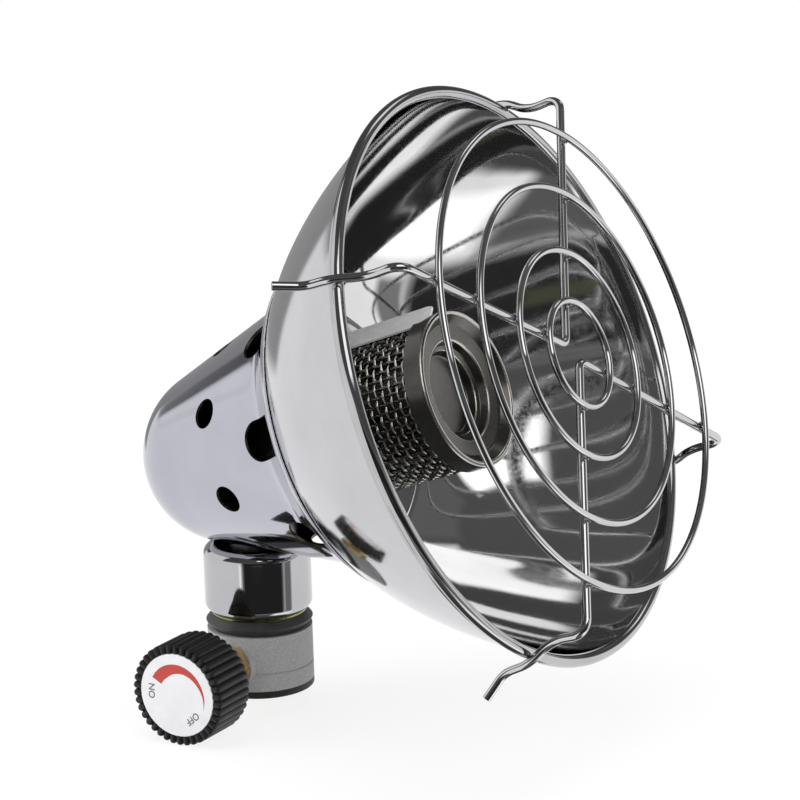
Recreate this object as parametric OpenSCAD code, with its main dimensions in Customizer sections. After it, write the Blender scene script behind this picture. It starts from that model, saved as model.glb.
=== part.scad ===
// Portable propane heater head: polished reflector, burner, wire guard and a screw-on valve.
// Millimetres. Origin: centre of the cartridge thread's mouth, at the underside of the valve.
// +Z runs up the stem, the head faces +X and the knob points to -Y.

/* [Stem] */
// Height of the lowest rubber seat ring
seat_h = 2.1; // [1.5:0.1:3]
// Radius of the die-cast valve body and of its seat ring
body_r = 14.6; // [13:0.1:17]
// Height of the valve body above the seat ring
body_h = 15.3; // [14:0.1:18]
// Height of the groove's middle above the underside of the valve
groove_h = 7; // [5:0.1:10]
// Width of the groove round the valve body
groove_w = 0.7; // [0.4:0.1:1]
// Radius of the cartridge thread's wall (7/16-28 UNEF)
thread_r = 5.6; // [5.5:0.05:5.8]
// Length of the cartridge thread
thread_len = 5.4; // [4.5:0.1:5.6]
// Wall of the brass thread insert
insert_wall = 2.6; // [1.6:0.1:3]
// Height of the black double-bevel ring
bevel_h = 4.2; // [3:0.1:6]
// Largest radius of the double-bevel ring
bevel_r = 14.9; // [14:0.1:17]
// How far the two bevels run in
bevel_cut = 1.7; // [0.5:0.1:2.5]
// Thickness of the yellow passivated washer under the cup
washer_t = 0.6; // [0.4:0.1:1]
// How far the washer's edge lies inside the cup's side
washer_in = 1.7; // [1:0.1:3]

/* [Cup] */
// Radius of the chrome cup
cup_r = 14.9; // [14:0.1:17]
// Height of the cup
cup_h = 19; // [17:0.1:24]
// Radius of the cup's lower edge
cup_foot_bend = 2.5; // [1:0.1:4]
// Radius of the cup's shoulder
cup_shoulder_bend = 3; // [1:0.1:4]
// How deep the rear housing sits in the cup's mouth
cup_saddle = 0.4; // [0.3:0.1:1.5]

/* [Head] */
// Upward tilt of the head, in degrees
head_tilt = 20; // [12:1:28]
// Thickness of the pressed sheet
sheet = 0.8; // [0.6:0.1:1.2]
// From the stem's axis to the reflector's rim, along the head's axis
rim_ahead = 87.2; // [84:0.1:95]
// Radius of the rolled rim's centre circle
rim_r = 76; // [72:0.5:85]
// Radius of the rolled rim's bead
bead_r = 1.6; // [1.2:0.1:2.2]
// Depth of the reflector behind its rim
bowl_depth = 55; // [52:0.5:57]
// Radius of the reflector's flat floor
floor_r = 30; // [26:0.5:33]

/* [Rear housing] */
// Radius of the housing where its cone starts, behind the reflector
cone_front_r = 38.8; // [38:0.1:39.2]
// Radius of the housing where its cone meets the round end
cone_rear_r = 23.6; // [22:0.1:25]
// Length of the cone
cone_len = 47; // [45:0.1:50]
// Angle by which the cone dips from the reflector's axis
cone_dip = 2.8; // [1:0.1:3.5]
// Angle of the flare between the cone and the lip, from the reflector's axis
flare_angle = 44; // [42:0.5:46]
// Width of the lip that lies on the back of the reflector
lip_w = 5; // [3:0.5:7]
// Number of round air holes, and of notches between them
vent_count = 8; // [6:1:9]
// Radius of a round air hole
vent_hole_r = 4; // [2:0.1:5]
// From the cone's start back to the round holes' centres
vent_hole_back = 24.6; // [20:0.1:28]
// Width of a notch
notch_w = 11; // [6:0.5:13]
// Length of a notch behind the lip
notch_len = 14.4; // [8:0.1:16]
// Angle of the first notch from the top, towards the knob's side
notch_turn = 37.4; // [0:0.1:45]

/* [Burner] */
// Outer radius of the woven gauze
gauze_r = 20.6; // [18:0.1:23]
// Thickness of the woven gauze
gauze_t = 0.8; // [0.6:0.1:1.2]
// Outer radius of the slotted sleeve inside the gauze
sleeve_r = 15.1; // [14:0.1:16.5]
// From the reflector's rim back to the front of the burner's cap
cap_back = 14.7; // [10:0.1:22]
// Length of the cap's skirt
cap_skirt = 5.5; // [4:0.1:8]
// Depth of the cap's first step
cap_step = 2.6; // [1.5:0.1:3]
// Depth of the cap's inner well
cap_well = 8; // [7:0.1:10]
// Width of the flat seam strip on the gauze
strip_w = 11; // [8:0.5:13]
// Angle of the seam strip's fixed edge from the top, towards the knob's side
strip_turn = 29; // [0:1:90]
// Outer radius of the mixing tube
tube_r = 7.5; // [7.2:0.1:8]
// Wall of the mixing tube
tube_wall = 1.25; // [1:0.05:1.5]
// Centre radius of the mixing tube's bend
tube_bend = 14; // [12:0.5:18]
// Radius of the mixing tube's four air holes
air_hole_r = 2; // [1.2:0.1:2.6]
// From the top of the jet's hexagon up to the air holes' axes
air_hole_up = 3; // [2.5:0.1:5]
// From the housing's underside up to the top of the saddle washer
saddle_rise = 7.2; // [6:0.1:9]
// How far the saddle washer reaches beyond the mixing tube
saddle_w = 4; // [3:0.1:5]

/* [Guard] */
// Radius of the guard rings' wire
ring_wire_r = 0.95; // [0.8:0.05:1.3]
// Radius of the bent wires that carry the rings
rod_wire_r = 1.15; // [0.9:0.05:1.5]
// From the reflector's rim forward to the rings' plane
guard_ahead = 19.9; // [15:0.1:28]
// Radius of the outermost ring
ring_1_r = 61.8; // [58:0.1:66]
// Radius of the second ring
ring_2_r = 44.5; // [40:0.1:50]
// Radius of the third ring
ring_3_r = 27.5; // [24:0.1:32]
// Radius of the smallest ring
ring_4_r = 14; // [11:0.1:18]

/* [Knob] */
// Height of the knob's axis above the underside of the valve
knob_h = 9.3; // [9.2:0.1:10.5]
// From the stem's axis to the knob's front edge
knob_front = 42.5; // [40:0.1:46]
// Length of the knob
knob_len = 15.1; // [13:0.1:16]
// Radius over the knob's ribs
knob_r = 14.1; // [12:0.1:16]
// Number of ribs
rib_count = 38; // [24:1:48]
// Depth of the ribs
rib_depth = 0.9; // [0.5:0.1:1.3]
// Radius of the white dial
dial_r = 11.5; // [9:0.1:11.8]
// Radius of the spindle where the knob sits
spindle_r = 3; // [2.6:0.1:3.4]
// Radius of the spindle's needle part
needle_r = 1.8; // [1.6:0.1:2]

/* [Hidden] */
$fn = 96;

// Clearances
skin_gap = 0.2;   // between one pressed sheet and the next
run_gap = 0.06;   // between a turning shaft and its bore
slip_gap = 0.05;  // between fixed round pieces that slide together
corner_swell = 0.03;  // how much thicker a bar is in its bends

// ---- heights up the stem ----
body_top = seat_h + body_h;
bevel_top = body_top + bevel_h;
cup_base = bevel_top + washer_t;
cup_top = cup_base + cup_h;
cup_nut_h = 3.5;
cup_nut_top = cup_base + sheet + cup_nut_h;
spigot_rise = 3.5;                        // the spigot above the cup's nut
spigot_top = cup_nut_top + spigot_rise;
spigot_r = tube_r - tube_wall - slip_gap;  // the valve body's spigot inside the tube
jet_bore_r = 2.5;
jet_bore_base = body_top + 3.6;
filter_h = 2.6;
jet_head_h = 2.5;
pocket_r = thread_r - 0.4;
pocket_top = thread_len + 1.4;
insert_r = thread_r + insert_wall;

// ---- along the head's axis, from the stem's axis ----
bowl_bulge = 1.17;                        // powers that shape the reflector's side
bowl_turn = 0.6;
bowl_steps = 16;
bowl_edge_r = rim_r - 1;
floor_w = rim_ahead - bowl_depth;         // back of the floor
cap_w = rim_ahead - cap_back;             // front of the burner's cap
cone_w = floor_w + 1;                     // start of the housing's cone
lip_s = bowl_depth - 7;                   // depth at which the lip meets the cone
cone_half = atan((cone_front_r - cone_rear_r) / cone_len);
dome_r = cone_rear_r / cos(cone_half);
dome_w = cone_w - cone_len + dome_r * sin(cone_half);
dome_steps = 14;
dome_flat = 3;                            // half angle of the small flat at the dome's tip
cone_over = 2.8;                          // how far the cone runs on inside the flare

// ---- where the cone's underside crosses the stem's axis ----
cone_tilt = head_tilt - cone_dip;
cone_r_at_stem = cone_front_r - cone_w * (sin(cone_dip) + tan(cone_half) * cos(cone_dip));
cone_drop = cone_r_at_stem / (cos(cone_tilt) + tan(cone_half) * sin(cone_tilt));
head_h = cup_top - cup_saddle + cone_drop;

// ---- burner, along the head's axis ----
tray_t = 1;
tray_r = gauze_r + skin_gap + tray_t;
tray_lip = 4;
tray_w = floor_w + sheet;
gauze_w = tray_w + tray_t;
nut_h = 3;
tube_end_w = gauze_w + nut_h + 0.5;
ledge_r = sleeve_r - sheet - 1.1;         // where the cap's well starts
sleeve_end_w = cap_w - cap_step - sheet - 0.4;

// ---- guard ----
ring_w = rim_ahead + guard_ahead;
rod_w = ring_w - ring_wire_r - rod_wire_r;
rod_bend = 2.5;
foot_r = rim_r + bead_r + rod_wire_r + 0.2;   // the wire's centre outside the rim
foot_in_r = rim_r - 1;                        // and in front of it
upper_turn_up = 3;                            // where each wire turns, from the axis
upper_turn_side = 2.1;
lower_turn_down = 1.9;
lower_turn_side = 2;
upper_corner = [upper_turn_up, upper_turn_side];       // [up, to the knob's side]
lower_corner = [-lower_turn_down, -lower_turn_side];
upper_legs = [-33.5, 62];                     // directions of the legs from the top, in degrees
lower_legs = [147, -120.5];

// ---- along the knob's axis, from the stem's axis ----
knob_back = knob_front - knob_len;
dial_t = 0.8;
dial_front = knob_front - 0.3;
web_back = dial_front - dial_t - 3.4;
spindle_end = web_back - 0.6;
boss_r = knob_h - seat_h - 0.7;
boss_end = body_r + 0.6;
gland_bore_r = 4.5;
seal_q = body_r - 4.4;                    // where the gland's bore starts
seal_wire_r = 0.95;
gland_start = seal_q + 2 * seal_wire_r + 0.2;
shoulder_q = gland_start + 1.2;           // where the spindle gets thicker
hex_af = 14;
hex_len = 6;
neck_len = 3;
needle_q = 3.4;                           // where the needle's taper starts

// ---- placing ----
// Local Z runs along the head's axis, local X up across it and local Y to the knob's side.
module on_head() {
    translate([0, 0, head_h])
        rotate([0, 90 - head_tilt, 0])
            rotate([0, 0, 180])
                children();
}

// Local Z runs from the stem's axis out along the knob's axis, and local Y is up.
module on_knob() {
    translate([0, 0, knob_h])
        rotate([90, 0, 0])
            children();
}

// ---- outlines of pressed sheet: lists of [radius, height] ----
function unit(v) = v / norm(v);
function left_of(v) = [-v[1], v[0]];
function side_at(path, i) =
    let (before = unit(path[max(i, 1)] - path[max(i, 1) - 1]))
    let (after = unit(path[min(i, len(path) - 2) + 1] - path[min(i, len(path) - 2)]))
    let (mean = left_of(unit(before + after)))
    mean / (mean * left_of(before));
function moved(path, t) = [for (i = [0:len(path) - 1])
    let (p = path[i] + t * side_at(path, i)) [path[i][0] == 0 ? 0 : p[0], p[1]]];
function reversed(path) = [for (i = [len(path) - 1:-1:0]) path[i]];
function sheet_outline(path, t) = concat(path, reversed(moved(path, t)));
function arc(centre, r, from, to, steps) = [for (i = [0:steps])
    let (a = from + (to - from) * i / steps) centre + r * [cos(a), sin(a)]];

function bowl_r(s) = floor_r
    + (bowl_edge_r - floor_r) * pow(1 - pow(s / bowl_depth, bowl_bulge), bowl_turn);
bowl_side = [for (i = [0:bowl_steps])
    let (s = bowl_depth * sin(90 * i / bowl_steps)) [bowl_r(s), rim_ahead - s]];
bowl_path = concat(bowl_side, [[tube_r + skin_gap, floor_w]]);

// The lip follows the reflector's back, one gap away. The flare leads down to a small step
// at the cone's front, which is wide enough for the dipped cone.
lip_line = [for (i = [0:3]) let (s = lip_s - lip_w * (1 - i / 3)) [bowl_r(s), rim_ahead - s]];
lip_path = moved(lip_line, skin_gap + sheet);
flare_top = lip_path[3];
function flare_at(w) = [flare_top[0] - (flare_top[1] - w) * tan(flare_angle), w];
front_path = concat(lip_path, [flare_at(cone_w)]);
dome_path = arc([0, dome_w], dome_r, -cone_half, dome_flat - 90, dome_steps);
rear_path = concat([[cone_front_r + cone_over * tan(cone_half), cone_w + cone_over]],
    dome_path, [[0, dome_path[dome_steps][1]]]);

cup_path = concat(
    arc([cup_r - cup_shoulder_bend, cup_top - cup_shoulder_bend], cup_shoulder_bend, 90, 0, 6),
    arc([cup_r - cup_foot_bend, cup_base + cup_foot_bend], cup_foot_bend, 0, -90, 6),
    [[spigot_r + slip_gap, cup_base]]);

cap_r = gauze_r + skin_gap + sheet;
cap_path = [
    [cap_r, cap_w - cap_skirt],
    [cap_r, cap_w - 0.6],
    [cap_r - 0.6, cap_w],
    [cap_r - 1.7, cap_w],
    [cap_r - 3.6, cap_w - cap_step],
    [ledge_r, cap_w - cap_step - 0.3],
    [ledge_r - 0.6, cap_w - cap_well + 2.4],
    [ledge_r - 2, cap_w - cap_well + 1.9],
    [ledge_r - 2.7, cap_w - cap_well],
    [0, cap_w - cap_well]];

module turned(outline) {
    rotate_extrude()
        polygon(outline);
}

// The cone's axis leaves the reflector's axis at the cone's front and dips from there.
module on_cone() {
    translate([0, 0, cone_w])
        rotate([0, -cone_dip, 0])
            translate([0, 0, -cone_w])
                children();
}

// The housing's whole volume, grown or shrunk by t.
module housing_volume(t) {
    lip = moved(front_path, t);
    foot = flare_at(cone_w - t) + [t / cos(flare_angle), 0];
    rear = moved(rear_path, t);
    on_head()
        union() {
            turned(concat([[0, lip[0][1]]], [for (i = [0:3]) lip[i]], [foot, [0, foot[1]]]));
            on_cone()
                turned(concat([[0, rear[0][1]]], rear));
        }
}

module tube(r_out, r_in, low, high) {
    difference() {
        translate([0, 0, low])
            cylinder(r = r_out, h = high - low);
        translate([0, 0, low - 1])
            cylinder(r = r_in, h = high - low + 2);
    }
}

module hex_nut(across, hole_r, low, high) {
    difference() {
        translate([0, 0, low])
            cylinder(r = across / 2 / cos(30), h = high - low, $fn = 6);
        translate([0, 0, low - 1])
            cylinder(r = hole_r, h = high - low + 2);
    }
}

module ring_of_wire(r, wire_r, height) {
    translate([0, 0, height])
        rotate_extrude()
            translate([r, 0])
                circle(r = wire_r);
}

// ---- bent round bar: straight lengths and true arcs along a list of points ----
function turn_at(path, i) =
    acos(min(1, unit(path[i] - path[i - 1]) * unit(path[i + 1] - path[i])));
function cut_at(path, i, bend) =
    i == 0 || i == len(path) - 1 ? 0 : bend * tan(turn_at(path, i) / 2);

module bar_length(from, to, r) {
    d = to - from;
    translate(from)
        rotate([0, acos(d[2] / norm(d)), atan2(d[1], d[0])])
            cylinder(r = r, h = norm(d));
}

module bar_corner(path, i, bend, r) {
    u = unit(path[i] - path[i - 1]);
    v = unit(path[i + 1] - path[i]);
    inward = unit(v - (v * u) * u);
    across = cross(u, inward);
    start = path[i] - cut_at(path, i, bend) * u;
    multmatrix([
        [inward[0], across[0], u[0], start[0]],
        [inward[1], across[1], u[1], start[1]],
        [inward[2], across[2], u[2], start[2]],
        [0, 0, 0, 1]])
        translate([bend, 0, 0])
            rotate([90, 0, 0])
                rotate([0, 0, 180 - turn_at(path, i)])
                    rotate_extrude(angle = turn_at(path, i))
                        translate([bend, 0])
                            circle(r = r);
}

// Each straight length runs a little way into its corners, which are a hair thicker.
function lap_at(path, i, bend) =
    i == 0 || i == len(path) - 1 ? 0 : min(0.3, 0.4 * bend * turn_at(path, i) * PI / 180);

module bent_bar(path, bend, r) {
    for (i = [0:len(path) - 2]) {
        u = unit(path[i + 1] - path[i]);
        bar_length(path[i] + (cut_at(path, i, bend) - lap_at(path, i, bend)) * u,
            path[i + 1] - (cut_at(path, i + 1, bend) - lap_at(path, i + 1, bend)) * u, r);
    }
    for (i = [1:len(path) - 2])
        bar_corner(path, i, bend, r + corner_swell);
}

// ---- head ----
module reflector() {
    color("silver")
        on_head()
            union() {
                turned(sheet_outline(bowl_path, -sheet));
                ring_of_wire(rim_r, bead_r, rim_ahead);
            }
}

module vent_hole() {
    translate([0, 0, cone_w - vent_hole_back])
        rotate([0, 90, 0])
            cylinder(r = vent_hole_r, h = cone_front_r + 10);
}

module notch() {
    front = rim_ahead - lip_s - sheet;
    round_w = front - notch_len + notch_w / 2;
    half = notch_w / 2;
    translate([0, 0, round_w])
        rotate([90, 0, 90])
            linear_extrude(cone_front_r + 20)
                polygon(concat([[half, front - round_w], [-half, front - round_w]],
                    arc([0, 0], half, 180, 360, 10)));
}

module rear_housing() {
    step = 360 / vent_count;
    color("gainsboro")
        difference() {
            housing_volume(0);
            housing_volume(-sheet);
            on_head()
                for (i = [0:vent_count - 1]) {
                    rotate([0, 0, notch_turn + step * i])
                        notch();
                    rotate([0, 0, notch_turn + step * (i + 0.5)])
                        vent_hole();
                }
            translate([0, 0, cup_base])
                cylinder(r = tube_r + skin_gap, h = cup_h + 10);
        }
}

// ---- burner ----
module burner_base() {
    tray = [[tube_r + slip_gap, tray_w], [tray_r, tray_w], [tray_r, tray_w + tray_lip]];
    color("dimgray")
        on_head()
            turned(sheet_outline(tray, tray_t));
}

module back_lock_nut() {
    color("goldenrod")
        on_head()
            hex_nut(2 * tube_r + 5, tube_r + slip_gap, floor_w - nut_h, floor_w);
}

module front_lock_nut() {
    color("goldenrod")
        on_head()
            hex_nut(2 * tube_r + 5, tube_r + slip_gap, gauze_w, gauze_w + nut_h);
}

module flame_sleeve() {
    rows = 3;
    slots = 8;
    pitch = (sleeve_end_w - gauze_w) / (rows + 1);
    color("dimgray")
        on_head()
            difference() {
                tube(sleeve_r, sleeve_r - sheet, gauze_w, sleeve_end_w);
                for (row = [1:rows])
                    for (i = [0:slots - 1])
                        rotate([0, 0, 360 / slots * (i + row / 2)])
                            translate([0, 0, gauze_w + pitch * row])
                                rotate([0, 90, 0])
                                    cylinder(r = 1.5, h = sleeve_r + 5);
            }
}

module burner_gauze() {
    color("slategray")
        on_head()
            tube(gauze_r, gauze_r - gauze_t, gauze_w, cap_w - cap_step);
}

module gauze_strip() {
    low = tray_w + tray_lip + 0.3;
    color("white")
        on_head()
            rotate([0, 0, strip_turn])
                translate([gauze_r + slip_gap, 1 - strip_w, low])
                    cube([0.6, strip_w, cap_w - cap_skirt - 1 - low]);
}

module burner_cap() {
    color("gray")
        on_head()
            turned(sheet_outline(cap_path, sheet));
}

module mixing_tube() {
    end = tube_end_w * [cos(head_tilt), 0, sin(head_tilt)] + [0, 0, head_h];
    over = [cos(head_tilt), 0, sin(head_tilt)];
    color("darkgray")
        difference() {
            bent_bar([[0, 0, cup_nut_top], [0, 0, head_h], end], tube_bend, tube_r);
            bent_bar([[0, 0, cup_nut_top - 1], [0, 0, head_h], end + over], tube_bend,
                tube_r - tube_wall);
            for (a = [45, 135])
                translate([0, 0, spigot_top + jet_head_h + air_hole_up])
                    rotate([0, 90, a])
                        cylinder(r = air_hole_r, h = 4 * tube_r, center = true);
        }
}

washer_top = head_h - cone_drop + saddle_rise;

module saddle_washer() {
    color("lightgray")
        difference() {
            intersection() {
                translate([0, 0, cup_base])
                    cylinder(r = tube_r + saddle_w, h = washer_top - cup_base);
                housing_volume(-sheet - slip_gap);
            }
            translate([0, 0, cup_base])
                cylinder(r = tube_r + slip_gap, h = cup_h + 20);
        }
}

module housing_nut() {
    color("goldenrod")
        hex_nut(2 * tube_r + 5, tube_r + slip_gap, washer_top, washer_top + nut_h);
}

// ---- stem ----
module cup() {
    color("gainsboro")
        difference() {
            turned(sheet_outline(cup_path, -sheet));
            housing_volume(skin_gap);
        }
}

module cup_nut() {
    color("goldenrod")
        hex_nut(2 * spigot_r + 4.6, spigot_r + slip_gap, cup_base + sheet, cup_nut_top);
}

module lock_washer() {
    color("darkkhaki")
        tube(cup_r - washer_in, spigot_r + slip_gap, bevel_top, cup_base);
}

module bevel_ring() {
    hole_r = spigot_r + slip_gap;
    color("black")
        turned([
            [hole_r, body_top],
            [bevel_r - bevel_cut + 0.2, body_top],
            [bevel_r, body_top + bevel_h * 0.52],
            [bevel_r - bevel_cut, bevel_top],
            [hole_r, bevel_top]]);
}

module valve_body() {
    color("lightslategray")
        difference() {
            union() {
                difference() {
                    translate([0, 0, seat_h])
                        cylinder(r = body_r, h = body_h);
                    translate([0, 0, groove_h - groove_w / 2])
                        tube(body_r + 1, body_r - 0.5, 0, groove_w);
                }
                translate([0, 0, 0.3])
                    cylinder(r = insert_r + 1.7, h = seat_h);
                translate([0, 0, body_top - 1])
                    cylinder(r = spigot_r, h = spigot_top - body_top + 1);
                on_knob()
                    translate([0, 0, seal_q - 1])
                        cylinder(r = boss_r, h = boss_end - seal_q + 1);
            }
            translate([0, 0, -1])
                cylinder(r = insert_r, h = thread_len + 1);
            translate([0, 0, thread_len - 1])
                cylinder(r = pocket_r, h = pocket_top - thread_len + 1);
            translate([0, 2.5, pocket_top - 1])
                cylinder(r = 0.8, h = knob_h - pocket_top + 1);
            translate([0, -2, knob_h])
                cylinder(r = 0.8, h = jet_bore_base - knob_h + 1);
            translate([0, 0, jet_bore_base])
                cylinder(r = jet_bore_r, h = spigot_top - jet_bore_base + 1);
            on_knob()
                valve_bores();
        }
}

// Seat orifice, needle bore and the wider bore that takes the gland.
module valve_bores() {
    translate([0, 0, -4])
        cylinder(r = needle_r / 2 + 0.1, h = 6.7);
    translate([0, 0, 1])
        cylinder(r = needle_r + run_gap, h = seal_q);
    translate([0, 0, seal_q])
        cylinder(r = gland_bore_r, h = boss_end - seal_q + 1);
}

module seat_ring() {
    color("black")
        tube(body_r, insert_r + 1.7 + slip_gap, 0, seat_h);
}

module thread_insert() {
    color("goldenrod")
        tube(insert_r, thread_r, 0, thread_len);
}

module cartridge_seal() {
    seal_r = 0.65;
    color("black")
        ring_of_wire(pocket_r - seal_r - slip_gap, seal_r, pocket_top - seal_r - slip_gap);
}

module actuator_pin() {
    color("gold")
        union() {
            translate([0, 0, pocket_top - 0.8])
                cylinder(r = 1.6, h = 0.8);
            translate([0, 0, thread_len + 0.1])
                cylinder(r = 1, h = pocket_top - thread_len - 0.5);
        }
}

module jet() {
    bottom = jet_bore_base + filter_h + 0.2;
    color("gold")
        difference() {
            union() {
                translate([0, 0, bottom])
                    cylinder(r = jet_bore_r - slip_gap, h = spigot_top - bottom);
                translate([0, 0, spigot_top])
                    cylinder(r = 3.9, h = jet_head_h, $fn = 6);
                translate([0, 0, spigot_top + jet_head_h])
                    cylinder(r = 1.8, h = 1.4);
            }
            translate([0, 0, bottom - 1])
                cylinder(r = 1.1, h = spigot_top - bottom + jet_head_h);
            translate([0, 0, spigot_top])
                cylinder(r = 0.2, h = jet_head_h + 3);
        }
}

module jet_filter() {
    color("darkgoldenrod")
        translate([0, 0, jet_bore_base + 0.1])
            cylinder(r = jet_bore_r - slip_gap, h = filter_h);
}

// ---- gland, spindle and knob ----
module gland_nut() {
    color("goldenrod")
        on_knob()
            difference() {
                union() {
                    translate([0, 0, gland_start])
                        cylinder(r = gland_bore_r - slip_gap, h = boss_end - gland_start);
                    translate([0, 0, boss_end])
                        cylinder(r = hex_af / 2 / cos(30), h = hex_len, $fn = 6);
                    translate([0, 0, boss_end + hex_len])
                        cylinder(r = gland_bore_r + 0.6, h = neck_len);
                }
                translate([0, 0, gland_start - 1])
                    cylinder(r = needle_r + run_gap, h = 3);
                translate([0, 0, shoulder_q - 0.2])
                    cylinder(r = spindle_r + run_gap, h = boss_end + hex_len);
            }
}

module spindle_seal() {
    color("black")
        on_knob()
            ring_of_wire(needle_r + run_gap + seal_wire_r, seal_wire_r,
                seal_q + seal_wire_r + slip_gap);
}

// The flat that keys the knob to the spindle.
module spindle_flat(low, high) {
    translate([-spindle_r - 1, spindle_r - 0.7, low])
        cube([2 * spindle_r + 2, spindle_r, high - low]);
}

module spindle() {
    color("tan")
        on_knob()
            difference() {
                union() {
                    translate([0, 0, shoulder_q])
                        cylinder(r = spindle_r, h = spindle_end - shoulder_q);
                    translate([0, 0, needle_q])
                        cylinder(r = needle_r, h = shoulder_q - needle_q);
                    translate([0, 0, needle_q - 3])
                        cylinder(r1 = 0.3, r2 = needle_r, h = 3);
                }
                spindle_flat(knob_back + 1, spindle_end + 1);
                translate([0, 0, spindle_end - 5])
                    cylinder(r = 1.5, h = 6);
            }
}

// Outline of the ribbed grip: a narrow valley between round-topped ribs.
function rib_outline() = [for (i = [0:rib_count - 1]) for (k = [0:5])
    let (a = 360 / rib_count * (i + k / 6))
    let (h = k == 0 ? 0 : 1 - pow(abs(k - 3) / 3, 2))
    (knob_r - rib_depth * (1 - h)) * [cos(a), sin(a)]];

module knob() {
    wall = 2.2;
    hub_r = spindle_r + 2.5;
    color("black")
        on_knob()
            difference() {
                translate([0, 0, knob_back])
                    linear_extrude(knob_len)
                        polygon(rib_outline());
                translate([0, 0, knob_back - 1])
                    tube(knob_r - rib_depth - wall, hub_r, 0, web_back - knob_back + 1);
                translate([0, 0, knob_back - 1])
                    cylinder(r = hub_r + 1, h = 2.2);
                translate([0, 0, dial_front - dial_t])
                    cylinder(r = dial_r + 0.1, h = 3);
                difference() {
                    translate([0, 0, knob_back])
                        cylinder(r = spindle_r, h = spindle_end - knob_back);
                    spindle_flat(knob_back - 1, spindle_end + 1);
                }
                translate([0, 0, spindle_end - 1])
                    cylinder(r = 1.6, h = 6);
                translate([0, 0, web_back + 1])
                    cylinder(r = 3.3, h = 6);
            }
}

module knob_screw() {
    color("silver")
        on_knob()
            difference() {
                union() {
                    translate([0, 0, spindle_end - 4.5])
                        cylinder(r = 1.45, h = web_back + 1 - spindle_end + 4.5);
                    translate([0, 0, web_back + 1])
                        cylinder(r = 2.9, h = 1.7);
                }
                translate([-3, -0.35, web_back + 1.9])
                    cube([6, 0.7, 1]);
            }
}

module dial_disc() {
    color("white")
        on_knob()
            translate([0, 0, dial_front - dial_t])
                cylinder(r = dial_r, h = dial_t);
}

// ---- guard ----
module guard_ring(r) {
    color("silver")
        on_head()
            ring_of_wire(r, ring_wire_r, ring_w);
}

// One leg from its flared tail to the plane of the wires: [radius, height] pairs.
foot = [
    [foot_r + 6.6, rim_ahead - 12.5],
    [foot_r + 0.9, rim_ahead - 7],
    [foot_r, rim_ahead + 0.5],
    [foot_in_r, rim_ahead + 8],
    [foot_in_r, rod_w]];

function leg(corner, a) =
    let (out = [cos(a), sin(a)])
    let (base = corner - (corner * out) * out)
    [for (p = foot) let (q = base + p[0] * out) [q[0], q[1], p[1]]];

module guard_wire(corner, legs) {
    middle = [[corner[0], corner[1], rod_w]];
    color("silver")
        on_head()
            bent_bar(concat(leg(corner, legs[0]), middle, reversed(leg(corner, legs[1]))),
                rod_bend, rod_wire_r);
}

reflector();
rear_housing();
burner_base();
back_lock_nut();
front_lock_nut();
flame_sleeve();
burner_gauze();
gauze_strip();
burner_cap();
mixing_tube();
saddle_washer();
housing_nut();
cup();
cup_nut();
lock_washer();
bevel_ring();
valve_body();
seat_ring();
thread_insert();
cartridge_seal();
actuator_pin();
jet();
jet_filter();
gland_nut();
spindle_seal();
spindle();
knob();
knob_screw();
dial_disc();
guard_ring(ring_1_r);  // guard_ring_1
guard_ring(ring_2_r);  // guard_ring_2
guard_ring(ring_3_r);  // guard_ring_3
guard_ring(ring_4_r);  // guard_ring_4
guard_wire(upper_corner, upper_legs);  // guard_wire_upper
guard_wire(lower_corner, lower_legs);  // guard_wire_lower
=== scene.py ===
"""Portable propane heater: the visual model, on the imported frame.

Sizes are in millimetres, as in the CAD. head(), stem() and knob() turn them into points in metres.
"""
import math

import bmesh
import bpy
from mathutils import Matrix, Vector, geometry


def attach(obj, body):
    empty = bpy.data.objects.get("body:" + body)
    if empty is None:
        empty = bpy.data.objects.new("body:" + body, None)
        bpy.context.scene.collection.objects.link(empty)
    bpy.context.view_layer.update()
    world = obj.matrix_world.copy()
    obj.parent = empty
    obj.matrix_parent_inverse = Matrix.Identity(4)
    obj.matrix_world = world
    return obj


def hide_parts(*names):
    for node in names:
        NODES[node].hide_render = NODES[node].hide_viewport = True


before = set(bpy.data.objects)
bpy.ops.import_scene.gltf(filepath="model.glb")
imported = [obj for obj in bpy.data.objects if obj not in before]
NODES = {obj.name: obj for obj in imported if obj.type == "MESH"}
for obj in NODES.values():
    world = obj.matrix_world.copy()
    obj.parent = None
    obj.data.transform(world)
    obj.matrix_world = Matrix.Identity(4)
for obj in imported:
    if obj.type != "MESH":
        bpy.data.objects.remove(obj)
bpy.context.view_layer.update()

scene = bpy.context.scene

MM = 0.001
TURN = 2 * math.pi
TINY = 1e-6

# ---------------------------------------------------------------- sizes shared by several pieces
SHEET, SKIN = 0.8, 0.2                       # sheet thickness, gap between pressed sheets

# Stem, upwards from the cartridge's seat
SEAT_H = 2.1
BODY_R, BODY_TOP, GROOVE_H = 14.6, 17.4, 7.0
BEVEL_R, BEVEL_CUT, BEVEL_TOP = 14.9, 1.7, 21.6
CUP_R, CUP_BASE, CUP_TOP = 14.9, 22.2, 41.2
STEM_BORE = 6.3                              # through the bevel ring, the washer and the cup's foot

# Reflector, along the head's axis
RIM, RIM_R, BEAD = 87.2, 76.0, 1.6
BOWL_DEPTH, FLOOR_R = 55.0, 30.0
FLOOR_W = RIM - BOWL_DEPTH
BOWL_POWER, BOWL_ROOT = 1.17, 0.6            # how full the bowl's side is
TUBE_R = 7.5

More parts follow.
